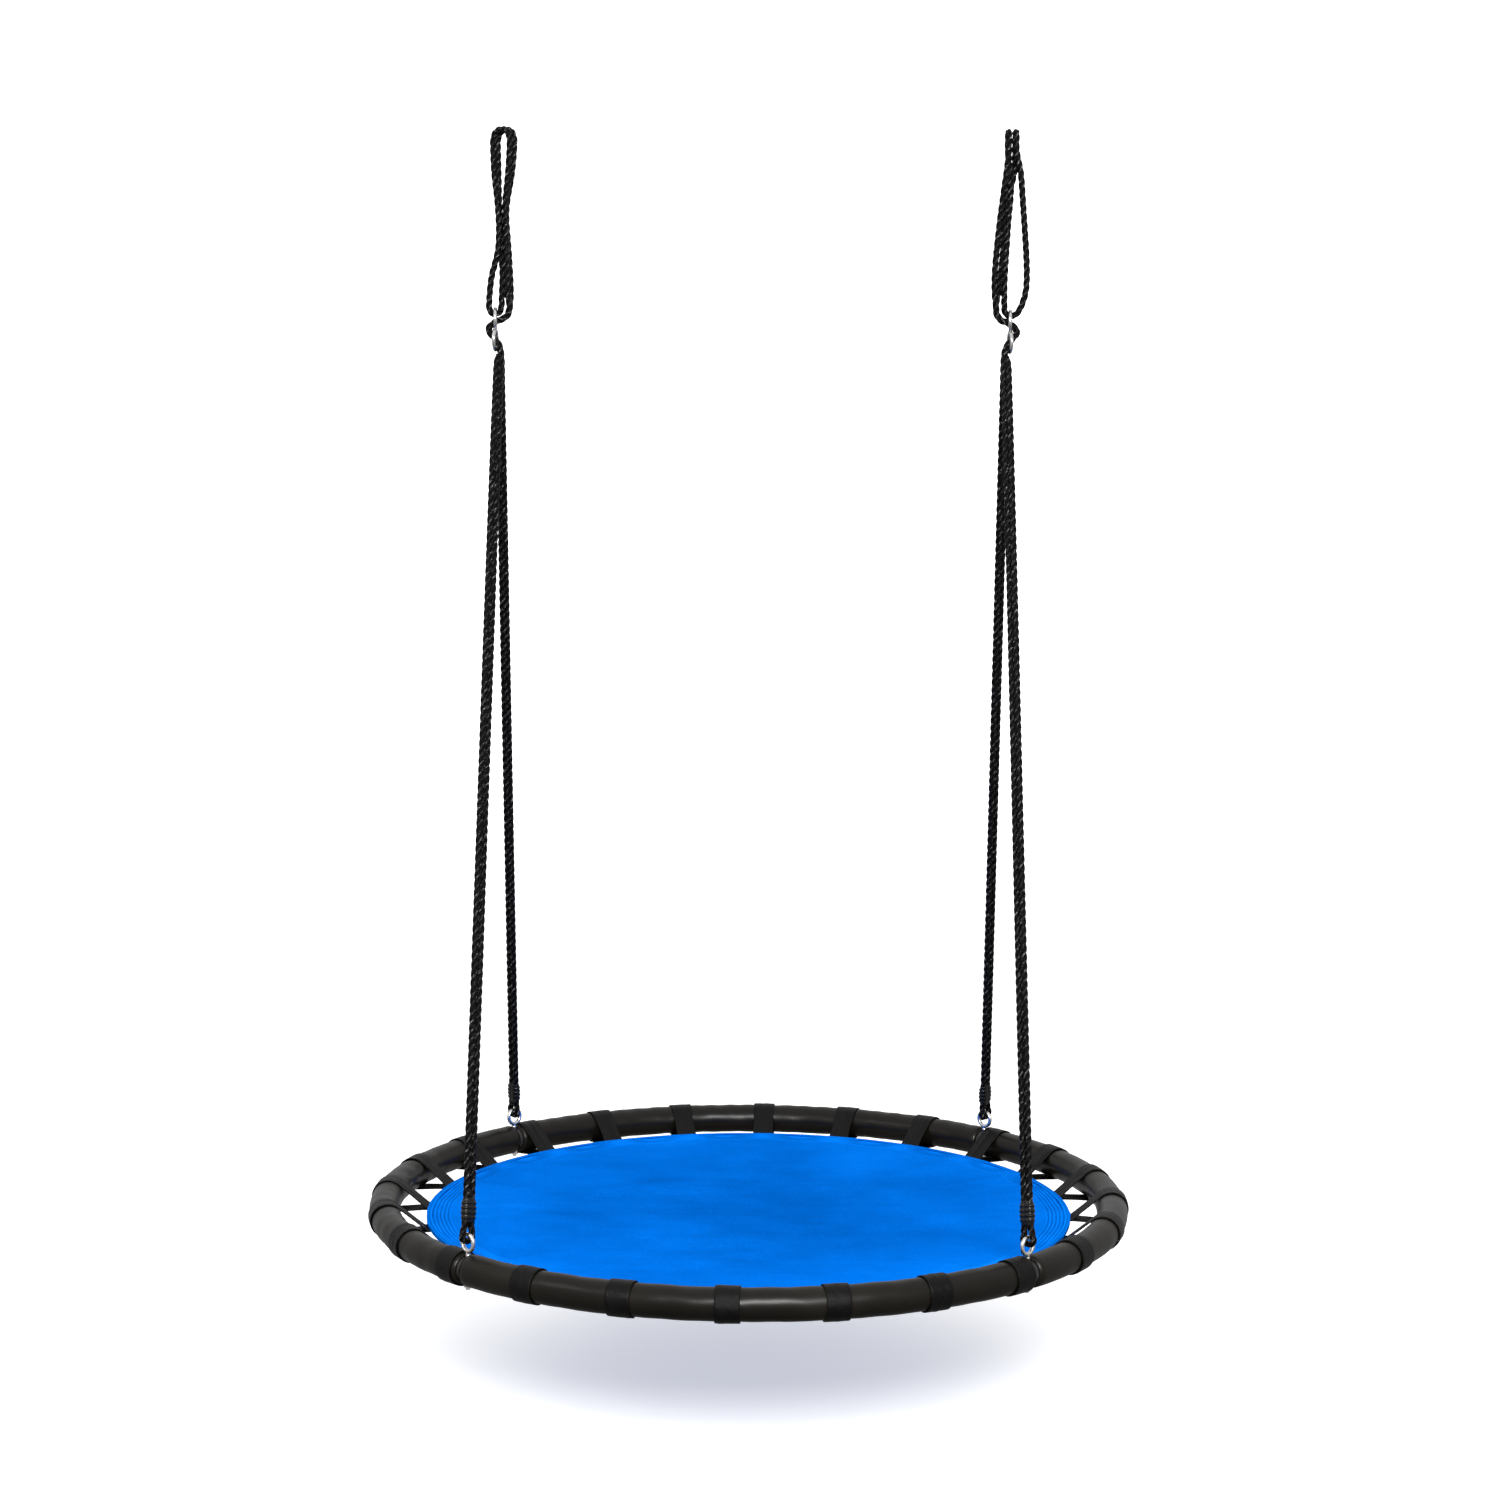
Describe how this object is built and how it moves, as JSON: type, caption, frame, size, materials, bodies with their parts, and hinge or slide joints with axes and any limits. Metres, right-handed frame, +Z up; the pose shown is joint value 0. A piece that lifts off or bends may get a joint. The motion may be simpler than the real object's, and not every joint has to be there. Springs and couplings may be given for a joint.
{
  "type": "saucer nest swing",
  "caption": "Round fabric seat laced by webbing loops into a padded steel ring, hung by doubled rope legs from two height adjusters and rope loops.",
  "frame": {"origin": "Midway between the two hanging points, level with the inside top of the rope bights where they lie on the hooks.", "axes": "+Z up, +X to the right hanging point seen from the front, +Y to the back; the front faces -Y."},
  "size_m": [1.0046, 1.0046, 1.4265],
  "materials": {
    "tube_steel": "black powder-coated steel tube",
    "sleeve": "matte black-brown foam sleeve with a PVC skin",
    "zinc_steel": "zinc-plated steel",
    "link_steel": "bright zinc-plated wire",
    "webbing": "black coated webbing, slight sheen",
    "mat_fabric": "saturated blue coated woven fabric",
    "binding": "folded blue edge binding",
    "rope": "black three-strand laid polyethylene rope",
    "clamp_plastic": "black moulded plastic"
  },
  "bodies": {
    "hook_bights": {"rope_bight_left": "rope", "rope_bight_right": "rope"},
    "rope_loops": {"rope_loop_left": "rope", "rope_loop_right": "rope"},
    "left_hanger": {"adjuster_left": "link_steel", "rope_hitch_left": "rope", "rope_leg_front_left": "rope", "rope_leg_back_left": "rope", "rope_clamp_front_left": "clamp_plastic", "rope_clamp_back_left": "clamp_plastic"},
    "right_hanger": {"adjuster_right": "link_steel", "rope_hitch_right": "rope", "rope_leg_front_right": "rope", "rope_leg_back_right": "rope", "rope_clamp_front_right": "clamp_plastic", "rope_clamp_back_right": "clamp_plastic"},
    "seat": {"ring_tube_front": "tube_steel", "ring_tube_right": "tube_steel", "ring_tube_back": "tube_steel", "ring_tube_left": "tube_steel", "ring_sleeve_front": "sleeve", "ring_sleeve_right": "sleeve", "ring_sleeve_back": "sleeve", "ring_sleeve_left": "sleeve", "eye_bolt_front_left": "zinc_steel", "eye_bolt_front_right": "zinc_steel", "eye_bolt_back_left": "zinc_steel", "eye_bolt_back_right": "zinc_steel", "washers": "zinc_steel", "nuts": "zinc_steel", "webbing_front": "webbing", "webbing_right": "webbing", "webbing_back": "webbing", "webbing_left": "webbing", "seat_mat": "mat_fabric", "mat_binding": "binding"}
  },
  "joints": [
    {"name": "swing", "type": "hinge", "parent": "hook_bights", "child": "rope_loops", "pos_m": [0, 0, -0.004], "axis": [1, 0, 0], "range_deg": [-45, 45]},
    {"name": "sway_left", "type": "hinge", "parent": "rope_loops", "child": "left_hanger", "pos_m": [-0.332, 0, -0.2225], "axis": [0, 1, 0], "range_deg": [-15, 15]},
    {"name": "sway_right", "type": "hinge", "parent": "rope_loops", "child": "right_hanger", "pos_m": [0.332, 0, -0.2225], "axis": [0, 1, 0], "range_deg": [-16, 16]},
    {"name": "sway_seat", "type": "hinge", "parent": "left_hanger", "child": "seat", "pos_m": [-0.33941, 0, -1.3504], "axis": [0, 1, 0], "range_deg": [-16, 16]}
  ],
  "couplings": [
    {"joint": "sway_right", "follows": "sway_left", "ratio": 1},
    {"joint": "sway_seat", "follows": "sway_left", "ratio": -0.978}
  ]
}
